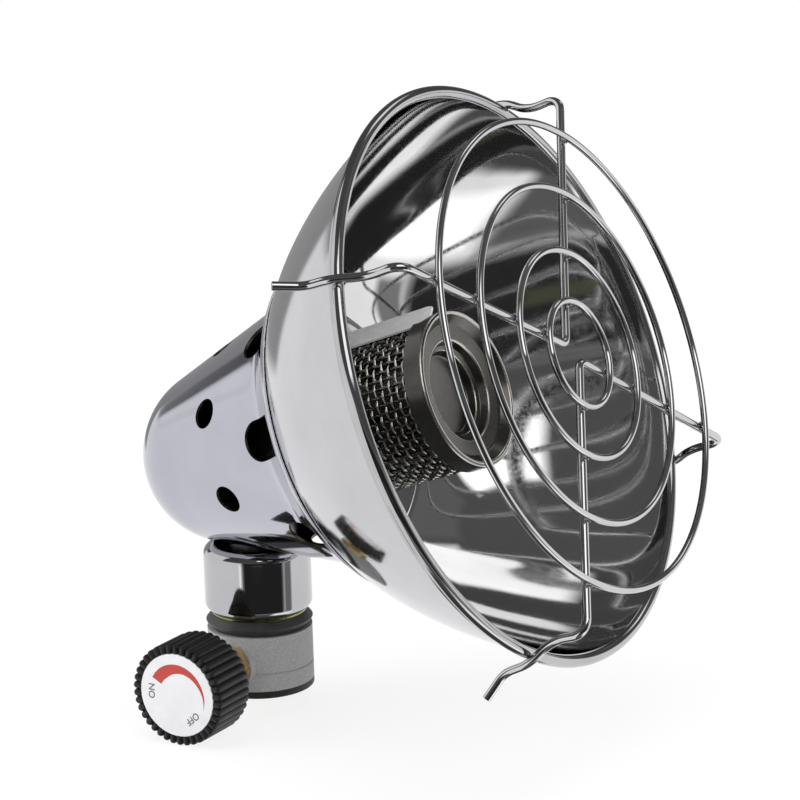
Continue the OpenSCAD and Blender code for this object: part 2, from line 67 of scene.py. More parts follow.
# Rear housing: a cone on an axis of its own, dipped from the head's
TILT, DIP = math.radians(20), math.radians(2.8)
CONE_W, CONE_R, CONE_LEN, DOME_EDGE = 33.2, 38.8, 47.0, 23.6
CONE_SLOPE = (CONE_R - DOME_EDGE) / CONE_LEN
HALF = math.atan(CONE_SLOPE)
DOME_R = DOME_EDGE / math.cos(HALF)
DOME_W = CONE_W - CONE_LEN + DOME_R * math.sin(HALF)
FLARE_W = 29.5                               # the side starts to flare here
CREASE_W, CREASE_R = 38.5, 44.785            # and ends in a crease, where the lip starts

# The head's height follows from the cone sinking into the cup's mouth
CUP_SADDLE = 0.4
CONE_AT_STEM = CONE_R - CONE_W * (math.sin(DIP) + CONE_SLOPE * math.cos(DIP))
CONE_DROP = CONE_AT_STEM / (math.cos(TILT - DIP) + CONE_SLOPE * math.sin(TILT - DIP))
HEAD_H = CUP_TOP - CUP_SADDLE + CONE_DROP

# Knob
KNOB_H, KNOB_FRONT, KNOB_LEN, KNOB_R, DIAL_R = 9.3, 42.5, 15.1, 14.1, 11.5
DIAL_Z = KNOB_FRONT - 0.3

# Burner and guard
CAP_W, CAP_R, GAUZE_R = RIM - 14.7, 21.6, 20.6
RING_RADII = (61.8, 44.5, 27.5, 14.0)
RING_W, RING_T, ROD_T = RIM + 19.9, 0.95, 1.15
ROD_W = RING_W - RING_T - ROD_T

AXIS = Vector((math.cos(TILT), 0, math.sin(TILT)))
UP = Vector((-math.sin(TILT), 0, math.cos(TILT)))
SIDE = Vector((0, -1, 0))


# ---------------------------------------------------------------- frames
def head(x, y, z):
    """Head frame: x across and up, y to the knob's side, z along the head's axis."""
    return (Vector((0, 0, HEAD_H)) + x * UP + y * SIDE + z * AXIS) * MM


def stem(x, y, z):
    """Stem frame: the object's own axes."""
    return Vector((x, y, z)) * MM


def knob(x, y, z):
    """Knob frame: x right, y up, z out of the knob's face."""
    return Vector((x, -z, KNOB_H + y)) * MM


def spot(degrees):
    """The unit vector at an angle in the plane."""
    return Vector((math.cos(math.radians(degrees)), math.sin(math.radians(degrees))))


def fractions(n, first=0):
    """i / n for i from first to n."""
    return [i / n for i in range(first, n + 1)]


# ---------------------------------------------------------------- mesh helpers
def piece(name, parts, mats, body="heater", sharp=32, stands_for=(), weld=0.0):
    """One object from parts: (verts, faces), or with a third item that gives the material's number
    for the part, or for each of its faces. weld joins points that lie closer, in metres."""
    verts, faces, numbers = [], [], []
    for v, f, *number in parts:
        faces += [[i + len(verts) for i in q] for q in f]
        verts += [tuple(p) for p in v]
        number = number[0] if number else 0
        numbers += number if isinstance(number, list) else [number] * len(f)
    mesh = bpy.data.meshes.new(name)
    mesh.from_pydata(verts, [], faces)
    for m in mats if isinstance(mats, list) else [mats]:
        mesh.materials.append(m)
    mesh.polygons.foreach_set("material_index", numbers)
    bm = bmesh.new()
    bm.from_mesh(mesh)
    if weld:
        bmesh.ops.remove_doubles(bm, verts=bm.verts, dist=weld)
    bmesh.ops.recalc_face_normals(bm, faces=bm.faces)
    for f in bm.faces:
        f.smooth = True
    for e in bm.edges:
        e.smooth = len(e.link_faces) == 2 and e.calc_face_angle(0) < math.radians(sharp)
    bm.to_mesh(mesh)
    bm.free()
    ob = bpy.data.objects.new(name, mesh)
    scene.collection.objects.link(ob)
    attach(ob, body)
    if stands_for:
        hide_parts(*stands_for)


def rounded(points, closed=True, steps=5):
    """An outline with its corners rounded: points are (r, z) or (r, z, radius)."""
    out, n = [], len(points)
    for i, p in enumerate(points):
        c = Vector(p[:2])
        f = p[2] if len(p) > 2 else 0
        if f <= 0 or (not closed and i in (0, n - 1)):
            out.append(tuple(c))
            continue
        a = (Vector(points[i - 1][:2]) - c).normalized()
        b = (Vector(points[(i + 1) % n][:2]) - c).normalized()
        half = a.angle(b) / 2
        cut = f / math.tan(half)
        mid = c + (a + b).normalized() * (f / math.sin(half))
        start, end = c + a * cut - mid, c + b * cut - mid
        turn = start.angle_signed(end)
        for u in fractions(steps):
            t = -turn * u
            out.append((mid.x + start.x * math.cos(t) - start.y * math.sin(t),
                        mid.y + start.x * math.sin(t) + start.y * math.cos(t)))
    return out


def moved(path, t):
    """The path moved sideways, to the left of its direction."""
    out = []
    for i, p in enumerate(path):
        a = Vector(path[max(i - 1, 0)])
        b = Vector(path[min(i + 1, len(path) - 1)])
        d = (b - a).normalized()
        out.append((p[0] - d.y * t, p[1] + d.x * t))
    return out


def skin(rings, closed=False):
    """Faces between rings of point numbers; closed joins the last ring to the first as well."""
    faces, n = [], len(rings[0])
    for u, v in zip(rings, rings[1:] + (rings[:1] if closed else [])):
        for k in range(n):
            j = (k + 1) % n
            f = list(dict.fromkeys((u[k], u[j], v[j], v[k])))
            if len(f) > 2:
                faces.append(f)
    return faces


def rows_of(count, n):
    """Point numbers of count rings of n points each."""
    return [list(range(i * n, (i + 1) * n)) for i in range(count)]


def lathe(outline, place, around=160, closed=True, depth=None):
    """Turns (r, z) points round the local z axis.

    With depth, points are (r, z, fall in r, fall in z): depth(angle) is the share of the fall."""
    verts, rings = [], []
    for r, z, *fall in outline:
        if r < TINY:
            rings.append([len(verts)] * around)
            verts.append(place(0, 0, z))
            continue
        rings.append(list(range(len(verts), len(verts) + around)))
        for k in range(around):
            a = TURN * k / around
            q, h = r, z
            if depth:
                q, h = r - depth(a) * fall[0], z - depth(a) * fall[1]
            verts.append(place(q * math.cos(a), q * math.sin(a), h))
    return verts, skin(rings, closed)


def sweep(path, radius, sides=14, closed=False):
    """A round bar along a path of points in metres; its radius is in millimetres."""
    n, verts = len(path), []

    def way(i):
        a = path[(i - 1) % n] if closed or i > 0 else path[i]
        b = path[(i + 1) % n] if closed or i < n - 1 else path[i]
        return (b - a).normalized()

    side = way(0).orthogonal().normalized()
    for i in range(n):
        w = way(i)
        side = (side - side.dot(w) * w).normalized()
        up = w.cross(side)
        for k in range(sides):
            a = TURN * k / sides
            verts.append(path[i] + (side * math.cos(a) + up * math.sin(a)) * radius * MM)
    rings = rows_of(n, sides)
    if closed:
        # The frame may have turned on its way round: match the nearest corner.
        shift = min(range(sides), key=lambda s: (verts[s] - verts[(n - 1) * sides]).length)
        return verts, skin(rings + [[(k + shift) % sides for k in range(sides)]])
    return verts, skin(rings) + [rings[0][::-1], rings[-1]]


def bend_path(points, bends, steps=8):
    """Rounds each inner corner of a 3-D path with a true arc; bends holds their radii in order."""
    out = [points[0]]
    for before, p, after, r in zip(points, points[1:], points[2:], bends):
        a, b = (before - p).normalized(), (after - p).normalized()
        half = a.angle(b) / 2
        cut = r / math.tan(half)
        mid = p + (a + b).normalized() * (r / math.sin(half))
        s, e = p + a * cut - mid, p + b * cut - mid
        turn = s.angle(e)
        out += [mid + (s * math.sin((1 - t) * turn) + e * math.sin(t * turn)) / math.sin(turn)
                for t in fractions(steps)]
    return out + [points[-1]]


# ---------------------------------------------------------------- materials
def link(tree, a, out, b, inp):
    tree.links.new(a.outputs[out], b.inputs[inp])


def set_inputs(node, **values):
    """Sets a node's inputs by name; an underscore stands for a space."""
    for name, value in values.items():
        node.inputs[name.replace("_", " ")].default_value = value
    return node


def add_noise(tree, scale, detail, rough=0.5):
    noise = set_inputs(tree.nodes.new("ShaderNodeTexNoise"), Scale=scale, Detail=detail, Roughness=rough)
    link(tree, tree.nodes.new("ShaderNodeTexCoord"), "Object", noise, "Vector")
    return noise


def surface(name, metallic, clouds, stops, grain, gloss, relief=None, height=0.0):
    """A material whose colour, roughness and relief each follow a noise.

    clouds, grain and relief are noises: (scale, detail) or (scale, detail, roughness). stops are
    the colours at places on the first, gloss is the range of roughness, height is in metres."""
    m = bpy.data.materials.new(name)
    m.use_nodes = True
    t = m.node_tree
    b = set_inputs(t.nodes["Principled BSDF"], Metallic=metallic)
    ramp = t.nodes.new("ShaderNodeValToRGB")
    marks = ramp.color_ramp.elements
    while len(marks) < len(stops):
        marks.new(0.5)
    for mark, (place, colour) in zip(marks, stops):
        mark.position = place
        mark.color = (*colour, 1)
    link(t, add_noise(t, *clouds), "Fac", ramp, "Fac")
    link(t, ramp, "Color", b, "Base Color")
    spread = set_inputs(t.nodes.new("ShaderNodeMapRange"), From_Min=0.3, From_Max=0.7,
                        To_Min=gloss[0], To_Max=gloss[1])
    link(t, add_noise(t, *grain), "Fac", spread, "Value")
    link(t, spread, "Result", b, "Roughness")
    if height:
        bump = set_inputs(t.nodes.new("ShaderNodeBump"), Strength=1.0, Distance=height)
        link(t, add_noise(t, *relief), "Fac", bump, "Height")
        link(t, bump, "Normal", b, "Normal")
    return m


def metal(name, dark, light, gloss, blotch=60, wave=0.0):
    """A metal with cloudy colour and gloss, and a soft waviness."""
    return surface(name, 1.0, (blotch, 4), [(0.3, dark), (0.7, light)], (900, 3), gloss, (35, 1.5), wave)


def plastic(name, dark, light, rough, bump=0.0):
    """A plastic, rubber or paint, a little mottled, with a fine grain."""
    return surface(name, 0.0, (300, 3), [(0.3, dark), (0.7, light)], (300, 3), (rough - 0.05, rough + 0.06),
                   (3500, 3), bump)


def grey(level):
    return (level, level, level)


M_BOWL_IN = metal("polished_inside", grey(0.68), grey(0.74), (0.03, 0.07), wave=0.00008)
M_BOWL_OUT = metal("bright_outside", (0.54, 0.54, 0.56), (0.60, 0.60, 0.62), (0.07, 0.12), wave=0.00004)
M_CHROME = metal("chrome_plate", (0.470, 0.475, 0.530), (0.515, 0.520, 0.580), (0.05, 0.09), wave=0.00004)
M_CHROME_CUP = metal("chrome_cup", (0.47, 0.47, 0.49), (0.52, 0.52, 0.54), (0.04, 0.08))
# Painted shade: the housing's inside faces are near black in place of the sheet's chrome, which lies unlit in there.
M_INSIDE_SHADE = metal("inside_painted_shade", (0.03, 0.028, 0.022), (0.06, 0.055, 0.045), (0.45, 0.6))
M_EDGE = metal("cut_edge", (0.16, 0.13, 0.10), (0.24, 0.20, 0.16), (0.35, 0.5))
M_WIRE = metal("plated_wire", (0.56, 0.56, 0.57), (0.64, 0.64, 0.65), (0.02, 0.05))
M_BEAD = metal("rim_bead", (0.46, 0.46, 0.47), (0.54, 0.54, 0.55), (0.05, 0.09))
# One wire cloth in two copies: the rings lighter as a painted highlight, the long wires darker as painted shade.
M_GAUZE_RING_HIGHLIGHT = metal("gauze_ring_wire_painted_highlight", (0.60, 0.59, 0.56), (0.92, 0.91, 0.88), (0.06, 0.14), blotch=420)
M_GAUZE_LONG_SHADE = metal("gauze_long_wire_painted_shade", (0.10, 0.095, 0.085), (0.26, 0.25, 0.23), (0.10, 0.20), blotch=420)
M_SLEEVE = metal("burner_sleeve", (0.07, 0.066, 0.06), (0.12, 0.11, 0.10), (0.22, 0.34))
M_BRASS = metal("brass", (0.62, 0.44, 0.18), (0.84, 0.64, 0.30), (0.16, 0.28), blotch=200)
M_ZINC = metal("zinc", (0.42, 0.42, 0.40), (0.52, 0.52, 0.50), (0.30, 0.42))
M_YELLOW = metal("yellow_passivate", (0.26, 0.26, 0.10), (0.38, 0.38, 0.15), (0.18, 0.28))
M_SCREW = metal("screw_steel", grey(0.5), grey(0.6), (0.25, 0.35))
M_RING = plastic("black_satin", (0.035, 0.036, 0.036), (0.05, 0.052, 0.052), 0.42, 0.00003)
M_RUBBER = plastic("black_rubber", (0.018, 0.018, 0.017), (0.03, 0.03, 0.028), 0.55, 0.00003)
M_KNOB = plastic("knob_plastic", grey(0.006), grey(0.012), 0.50, 0.00002)
M_DIAL = plastic("dial_white", (0.80, 0.80, 0.82), (0.85, 0.85, 0.87), 0.38)
M_RED = plastic("dial_red", (0.50, 0.045, 0.035), (0.56, 0.06, 0.045), 0.40)
M_INK = plastic("dial_ink", grey(0.10), grey(0.15), 0.45)
# The lip's edge and the gauze's strip are bright metal, made as pale paint: on the lip's edge it is a painted
# highlight, on the strip a painted lamp reflection
M_LIP_EDGE_HIGHLIGHT = plastic("lip_edge_painted_highlight", (0.62, 0.62, 0.67), (0.70, 0.70, 0.76), 0.30)
M_STRIP_LAMP_REFLECTION = plastic("bright_strip", (0.96, 0.96, 0.955), (0.99, 0.99, 0.98), 0.25)
# The valve body's rough casting
M_CAST = surface("cast_body", 0.0, (2500, 3, 0.6), [(0.3, (0.37, 0.372, 0.37)), (0.7, (0.58, 0.582, 0.58))],
                 (1400, 4), (0.46, 0.60), (1400, 4), 0.00009)
# The burner cap: stainless steel, dulled and tinted by heat, with painted highlights on its edges and a near-black
# skirt
M_CAP = surface("burner_cap", 1.0, (55, 3), [(0.25, (0.13, 0.125, 0.118)), (0.55, (0.155, 0.15, 0.145)),
                                             (0.8, (0.15, 0.128, 0.105))], (800, 3), (0.20, 0.27))
# The cap's rounded edges: a lighter copy of its steel, as a painted highlight.
M_CAP_EDGE_HIGHLIGHT = metal("cap_edge_painted_highlight", (0.56, 0.54, 0.50), (0.72, 0.69, 0.64), (0.18, 0.28))
M_SKIRT = metal("cap_skirt", (0.014, 0.012, 0.010), (0.030, 0.027, 0.023), (0.30, 0.42))

# What the CAD nodes that are kept as they are wear
KEPT_NODES = {
    "valve_body": M_CAST, "thread_insert": M_BRASS, "cartridge_seal": M_RUBBER, "actuator_pin": M_BRASS,
    "jet": M_BRASS, "jet_filter": M_BRASS, "cup_nut": M_BRASS, "housing_nut": M_BRASS,
    "saddle_washer": M_ZINC, "mixing_tube": M_ZINC, "back_lock_nut": M_BRASS, "front_lock_nut": M_BRASS,
    "flame_sleeve": M_SLEEVE, "burner_base": M_SLEEVE, "spindle_seal": M_RUBBER, "spindle": M_BRASS,
    "knob_screw": M_SCREW,
}
for node, mat in KEPT_NODES.items():
    ob = NODES[node]
    ob.data.materials.clear()
    ob.data.materials.append(mat)
    for s in ob.material_slots:
        s.material = mat


# ---------------------------------------------------------------- reflector
def bowl_r(s):
    """Radius of the bowl's outer skin at s behind the rim."""
    return FLOOR_R + (RIM_R - 1 - FLOOR_R) * max(0.0, 1 - (s / BOWL_DEPTH) ** BOWL_POWER) ** BOWL_ROOT


def bowl():
    """The spun bowl and its flat floor with the centre hole; material 1 is its inside."""
    around, rows = 224, 72
    depths = [BOWL_DEPTH * math.sin(math.pi / 2 * u) for u in fractions(rows)]
    outside = [(bowl_r(s), RIM - s) for s in depths]
    outside += [(FLOOR_R - 1, FLOOR_W), (FLOOR_R - 6, FLOOR_W), (TUBE_R + SKIN, FLOOR_W)]
    inside = moved(outside, -SHEET)
    inside[-1] = (TUBE_R + SKIN, FLOOR_W + SHEET)
    verts, faces = lathe(outside + inside[::-1], head, around)
    n_outside = around * (len(outside) - 1)
    return verts, faces, [0] * n_outside + [1] * (len(faces) - n_outside)


def rim():
    """The rolled bead, and the lip of sheet behind it."""
    bead = [(RIM_R + BEAD * math.cos(TURN * k / 28), RIM + BEAD * math.sin(TURN * k / 28)) for k in range(28)]
    lip = rounded([(RIM_R - 1.4, RIM - 0.4), (RIM_R + 0.15, RIM - 0.6), (RIM_R - 0.25, RIM - 2.9, 0.25),
                   (RIM_R - 1.6, RIM - 3.0)], closed=False)
    return [lathe(bead, head, 256), lathe(lip, head, 256, closed=False)]


piece("reflector_bowl", [bowl()], [M_BOWL_OUT, M_BOWL_IN], stands_for=("reflector",))
piece("reflector_rim", rim(), M_BEAD, sharp=50)

# ---------------------------------------------------------------- rear housing
SECTORS = 8                                  # holes, and notches, round the housing
SECTOR_TURN = 360 / SECTORS
HOLE_W, HOLE_R = CONE_W - 24.6, 4.0
NOTCH_TOP = RIM - 48 - SHEET
NOTCH_W, NOTCH_END = 11.0, NOTCH_TOP - 14.4
NOTCH_PHI = 37.4
HOLE_PHI = NOTCH_PHI - SECTOR_TURN / 2
SECTOR = (NOTCH_PHI - 33.75, NOTCH_PHI + 11.25)   # one hole and one notch lie inside
SIDE_LOW = 0.0                               # the side with the openings starts here, above the plain end
END_SIDES = 288
LIP_LOW, LIP_WIDE, LIP_THINNING = 47.6, 3.0, 0.55
# DARK is the painted shade of the housing's inside faces and of the lip's back.
CHROME, DARK, CUT, LIP = range(4)            # the housing's materials


def flare(w):
    """How much of the way from the plain cone out to the crease the side has gone at w."""
    x, soft = (w - FLARE_W) / (CREASE_W - FLARE_W), 4 / 9
    if x <= 0:
        return 0.0
    k = 1 / (2 * soft - soft * soft)
    return k * x * x if x < soft else k * soft * (2 * x - soft)


def cone_r(w):
    """Mean outer radius of the housing's side at w along the head's axis."""
    plain = CONE_R + CONE_SLOPE * (w - CONE_W)
    return plain + (CREASE_R - CONE_R - CONE_SLOPE * (CREASE_W - CONE_W)) * flare(w)


def dipped_r(phi, w):
    """Radius, from the head's axis, of the plain cone on its own dipped axis: where the ray at
    phi and w meets the cone, which is the larger root of a r^2 + b r + c = 0."""
    cos, sin, x = math.cos(math.radians(phi)), math.sin(math.radians(phi)), w - CONE_W
    cos_dip, sin_dip = math.cos(DIP), math.sin(DIP)
    r0 = CONE_R + CONE_SLOPE * x * cos_dip
    a = (cos * cos_dip) ** 2 + sin * sin - (CONE_SLOPE * cos * sin_dip) ** 2
    b = 2 * cos * sin_dip * (x * cos_dip + r0 * CONE_SLOPE)
    c = x * x * sin_dip * sin_dip - r0 * r0
    return (-b + math.sqrt(b * b - 4 * a * c)) / (2 * a)


def side_at(phi, w):
    """A point of the housing's outer side, in the head's frame."""
    r = dipped_r(phi, w)
    if flare(w) > 0:
        r += (CREASE_R - dipped_r(phi, CREASE_W)) * flare(w)
    return Vector((r * math.cos(math.radians(phi)), r * math.sin(math.radians(phi)), w))


def side_normal(phi, w):
    around = side_at(phi + 0.05, w) - side_at(phi - 0.05, w)
    along = side_at(phi, w + 0.02) - side_at(phi, w - 0.02)
    return around.cross(along).normalized()


def to_cone(p):
    """From the head's frame to the cone's own dipped frame."""
    x = p.z - CONE_W
    return Vector((x * math.sin(DIP) + p.x * math.cos(DIP), p.y,
                   CONE_W + x * math.cos(DIP) - p.x * math.sin(DIP)))


def from_cone(x, y, z):
    """A point in metres from the cone's own dipped frame."""
    z -= CONE_W
    return head(x * math.cos(DIP) - z * math.sin(DIP), y, CONE_W + x * math.sin(DIP) + z * math.cos(DIP))


def in_hole(phi, w, grow=0.0):
    y = cone_r(w) * math.sin(math.radians(phi - HOLE_PHI))
    return y * y + (w - HOLE_W) ** 2 < (HOLE_R + grow) ** 2


def in_notch(phi, w, grow=0.0):
    """A notch is open at its top and ends in a half circle."""
    y = cone_r(w) * math.sin(math.radians(phi - NOTCH_PHI))
    half = NOTCH_W / 2
    mid = NOTCH_END + half
    if w > NOTCH_TOP + grow:
        return False
    if w >= mid:
        return abs(y) < half + grow
    return y * y + (w - mid) ** 2 < (half + grow) ** 2


def opening_edges():
    """The outlines of one hole and one notch, over (angle, w)."""
    half, mid = NOTCH_W / 2, NOTCH_END + NOTCH_W / 2
    hole = [(HOLE_R * math.sin(TURN * i / 40), HOLE_W + HOLE_R * math.cos(TURN * i / 40)) for i in range(40)]
    notch = [(half - NOTCH_W * u, NOTCH_TOP) for u in fractions(10)]
    notch += [(-half, NOTCH_TOP + (mid - NOTCH_TOP) * u) for u in fractions(8, 1)[:-1]]
    notch += [(-half * math.cos(math.pi * u), mid - half * math.sin(math.pi * u)) for u in fractions(24)]
    notch += [(half, mid + (NOTCH_TOP - mid) * u) for u in fractions(8, 1)[:-1]]
    return [[(phi + math.degrees(math.asin(y / cone_r(w))), w) for y, w in line]
            for phi, line in ((HOLE_PHI, hole), (NOTCH_PHI, notch))]


def cut_sector():
    """One eighth of the side with its hole and notch, as triangles over (angle, w)."""
    mm_a_degree = 0.68                       # near enough for even triangles
    columns, rows, clear = 36, 32, 0.45      # clear: no grid point lies closer to an opening
    pts, edges = [], []
    for loop in opening_edges():
        n = len(pts)
        pts += loop
        edges += [(n + i, n + (i + 1) % len(loop)) for i in range(len(loop))]
    levels = [SIDE_LOW + (CREASE_W - SIDE_LOW) * i / rows for i in range(rows + 1)]
    for w in levels:
        for i in range(columns + 1):
            phi = SECTOR[0] + SECTOR_TURN * i / columns
            on_edge = i in (0, columns) or w in (levels[0], levels[-1])
            if on_edge or not (in_hole(phi, w, clear) or in_notch(phi, w, clear)):
                pts.append((phi, w))
    flat = [Vector((phi * mm_a_degree, w)) for phi, w in pts]
    flat, _, found = geometry.delaunay_2d_cdt(flat, edges, [], 0, 1e-5)[:3]
    pts = [(p.x / mm_a_degree, p.y) for p in flat]
    tris = []
    for t in found:
        phi, w = (sum(pts[i][axis] for i in t) / len(t) for axis in (0, 1))
        if not in_hole(phi, w) and not in_notch(phi, w):
            tris.append(list(t))
    return pts, tris


def housing_side():
    """The side with its holes and notches: outer skin, inner skin, and the walls between them."""
    pts, tris = cut_sector()
    number, order, faces = {}, [], []
    for k in range(SECTORS):
        ids = []
        for phi, w in pts:
            a = (phi + SECTOR_TURN * k) % 360
            key = (round(a, 3) % 360, round(w, 3))
            if key not in number:
                number[key] = len(order)
                order.append((a, w))
            ids.append(number[key])
        faces += [[ids[i] for i in t] for t in tris]
    outside = [side_at(a, w) for a, w in order]
    inside = [p - side_normal(a, w) * SHEET for p, (a, w) in zip(outside, order)]
    uses = {}
    for t in faces:
        for e in zip(t, t[1:] + t[:1]):
            uses[frozenset(e)] = uses.get(frozenset(e), 0) + 1
    ends = [{i for i, (_, w) in enumerate(order) if abs(w - level) < 0.01} for level in (SIDE_LOW, CREASE_W)]
    n = len(order)
    walls = [[i, j, j + n, i + n] for i, j in
             (tuple(e) for e, count in uses.items() if count == 1 and not any(e <= end for end in ends))]
    backs = [[i + n for i in t] for t in faces]
    return ([head(*p) for p in outside + inside], faces + backs + walls,
            [CHROME] * len(faces) + [DARK] * len(backs) + [CUT] * len(walls))


def housing_end(inward):
    """The plain cone below the side, and the round end; inward is how far inside the outer skin."""
    dr, dz = -inward * math.cos(HALF), inward * math.sin(HALF)
    r_end, dome_turn = DOME_R - inward, math.pi / 2 - 0.02 - HALF
    verts = []
    for j in range(END_SIDES):
        start = to_cone(side_at(SECTOR[0] + 360 / END_SIDES * j, SIDE_LOW))
        a = math.atan2(start.y, start.x)
        drop = start.z - (CONE_W - CONE_LEN)
        heights = [start.z - drop * u for u in fractions(5)[:-1]]
        line = [(CONE_R + CONE_SLOPE * (z - CONE_W) + dr, z + dz) for z in heights]
        line += [(r_end * math.cos(t), DOME_W + r_end * math.sin(t))
                 for t in [-HALF - dome_turn * u for u in fractions(28)]]
        verts += [from_cone(r * math.cos(a), r * math.sin(a), z) for r, z in line]
    n = len(line)
    rings = [[n * j + i for j in range(END_SIDES)] for i in range(n)]
    return verts, skin(rings) + [rings[-1]], DARK if inward else CHROME


def housing_lip():
    """The lip that lies on the reflector's back, thinning out towards its edge."""
    n = 10
    line = [(bowl_r(s), RIM - s) for s in [LIP_LOW - LIP_WIDE * u for u in fractions(n)]]
    top, back = moved(line, -(SKIN + SHEET)), moved(line, -SKIN)
    for i in range(1, n + 1):
        t = LIP_THINNING * (i / n) ** 2
        top[i] = tuple(a + (b - a) * t for a, b in zip(top[i], back[i]))
    out = side_normal(90, CREASE_W)
    top[0] = (CREASE_R, CREASE_W)
    back[0] = (CREASE_R - math.hypot(out.x, out.y) * SHEET, CREASE_W - out.z * SHEET)
    verts, faces = lathe(top + back[::-1], head, END_SIDES, closed=False)
    # The lip's edge faces (LIP) wear the pale paint of a painted highlight.
    return verts, faces, [CHROME] * (END_SIDES * n) + [LIP] * END_SIDES + [DARK] * (END_SIDES * n)


piece("housing_shell", [housing_side(), housing_end(0.0), housing_end(SHEET), housing_lip()],
      [M_CHROME, M_INSIDE_SHADE, M_EDGE, M_LIP_EDGE_HIGHLIGHT], stands_for=("rear_housing",), sharp=30, weld=2e-6)


# ---------------------------------------------------------------- cup
def in_housing(x, y, z):
    """Whether a point of the object lies in the housing's outline, grown by the gap to the cup."""
    p = Vector((x, y, z - HEAD_H))
    q = to_cone(Vector((p.dot(UP), p.dot(SIDE), p.dot(AXIS))))
    r = math.hypot(q.x, q.y)
    if q.z > CONE_W - CONE_LEN:
        return r < CONE_R + CONE_SLOPE * (q.z - CONE_W) + SKIN
    return (q.z - DOME_W) ** 2 + r * r < (DOME_R + SKIN) ** 2


def housing_under(x, y):
    """Height of the housing's underside over a point of the plan, found by halving, or None."""
    low, high = 20.0, HEAD_H
    if not in_housing(x, y, high) or in_housing(x, y, low):
        return None
    for _ in range(40):
        mid = (low + high) / 2
        if in_housing(x, y, mid):
            high = mid
        else:
            low = mid
    return low


def resampled(line, n):
    """n points at even distances along a line, after its first point."""
    lengths = [0.0]
    for p, q in zip(line, line[1:]):
        lengths.append(lengths[-1] + math.dist(p, q))
    out = []
    for i in range(1, n + 1):
        want, j = lengths[-1] * i / n, 0
        while j < len(lengths) - 2 and lengths[j + 1] < want:
            j += 1
        u = (want - lengths[j]) / max(1e-9, lengths[j + 1] - lengths[j])
        out.append(tuple(a + (b - a) * u for a, b in zip(line[j], line[j + 1])))
    return out


def cup():
    """The cup: foot, side and shoulder, cut away where the housing sits in its mouth."""
    around, shoulder, wall_low = 160, 3.0, CUP_BASE + 12
    foot = rounded([(STEM_BORE, CUP_BASE), (CUP_R, CUP_BASE, 2.5), (CUP_R, wall_low)], closed=False, steps=10)
    climb = [(CUP_R, wall_low + (CUP_TOP - shoulder - wall_low) * u) for u in fractions(12, 1)]
    climb += [(CUP_R - shoulder + shoulder * math.cos(math.pi / 2 * u),
               CUP_TOP - shoulder + shoulder * math.sin(math.pi / 2 * u)) for u in fractions(24, 1)]
    verts = []
    for k in range(around):
        cos, sin = math.cos(TURN * k / around), math.sin(TURN * k / around)
        kept = [foot[-1]]
        for r, z in climb:
            top = housing_under(r * cos, r * sin)
            if top is not None and z > top:
                kept.append((r, max(top, kept[-1][1])))
                break
            kept.append((r, z))
        line = foot + resampled(kept, 24)
        inside = moved(line, SHEET)
        inside[0] = (STEM_BORE, CUP_BASE + SHEET)
        verts += [stem(r * cos, r * sin, z) for r, z in line + inside[::-1]]
    return verts, skin(rows_of(around, len(verts) // around), closed=True)


piece("cup_shell", [cup()], M_CHROME_CUP, stands_for=("cup",), sharp=40)

# ---------------------------------------------------------------- stem
WASHER_R = CUP_R - 1.7
SEAT_BORE, BODY_BORE = 9.95, 9.9
HAIR = 0.02                                  # the body's skin stops this far from its neighbours

bevel_ring = [(STEM_BORE, BODY_TOP), (BEVEL_R - 1.6, BODY_TOP, 0.3), (BEVEL_R, 19.55, 0.35),
              (BEVEL_R - BEVEL_CUT, BEVEL_TOP, 0.4), (STEM_BORE, BEVEL_TOP)]
piece("double_bevel_ring", [lathe(rounded(bevel_ring), stem)], M_RING,
      stands_for=("bevel_ring",))

washer = [(STEM_BORE, BEVEL_TOP), (WASHER_R, BEVEL_TOP, 0.15), (WASHER_R, CUP_BASE, 0.15), (STEM_BORE, CUP_BASE)]
piece("passivated_washer", [lathe(rounded(washer), stem)], M_YELLOW,
      stands_for=("lock_washer",))

seat = [(SEAT_BORE, 0), (BODY_R, 0, 0.6), (BODY_R, SEAT_H, 0.15), (SEAT_BORE, SEAT_H)]
piece("rubber_seat", [lathe(rounded(seat), stem)], M_RUBBER, stands_for=("seat_ring",))

# The die-cast body: its skin with the groove, over the CAD body's bores and boss.
body_skin = [(BODY_BORE, SEAT_H + HAIR), (BODY_R, SEAT_H + HAIR, 0.3), (BODY_R, GROOVE_H - 0.35, 0.15),
             (BODY_R - 0.45, GROOVE_H, 0.1), (BODY_R, GROOVE_H + 0.35, 0.15),
             (BODY_R - 0.1, BODY_TOP - HAIR, 0.35), (BODY_BORE, BODY_TOP - HAIR)]
boss = [(0.0, 11), (6.5, 11), (6.5, 15.22, 0.4), (4.6, 15.22)]
piece("cast_skin", [lathe(rounded(body_skin), stem, 192),
                    lathe(rounded(boss, closed=False), knob, 96, closed=False)], M_CAST)


def gland_hex():
    """The gland nut's hexagon, with turned chamfers at both ends."""
    half, bore, low, high, chamfer, n = 6.0, 3.08, BODY_R + 0.65, BODY_R + 6.55, 0.6, 96
    plan = [(bore, low), (half + 0.1, low), (half + 0.9, low + chamfer),
            (half + 0.9, high - chamfer), (half + 0.1, high), (bore, high)]
    verts = []
    for r, z in plan:
        for k in range(n):
            a = TURN * k / n
            off_flat = (a + math.pi / 6) % (math.pi / 3) - math.pi / 6
            q = min(r, half / math.cos(off_flat))
            verts.append(knob(q * math.sin(a), q * math.cos(a), z))
    return verts, skin(rows_of(len(plan), n), closed=True)


piece("gland_hexagon", [gland_hex()], M_BRASS, stands_for=("gland_nut",), sharp=25)


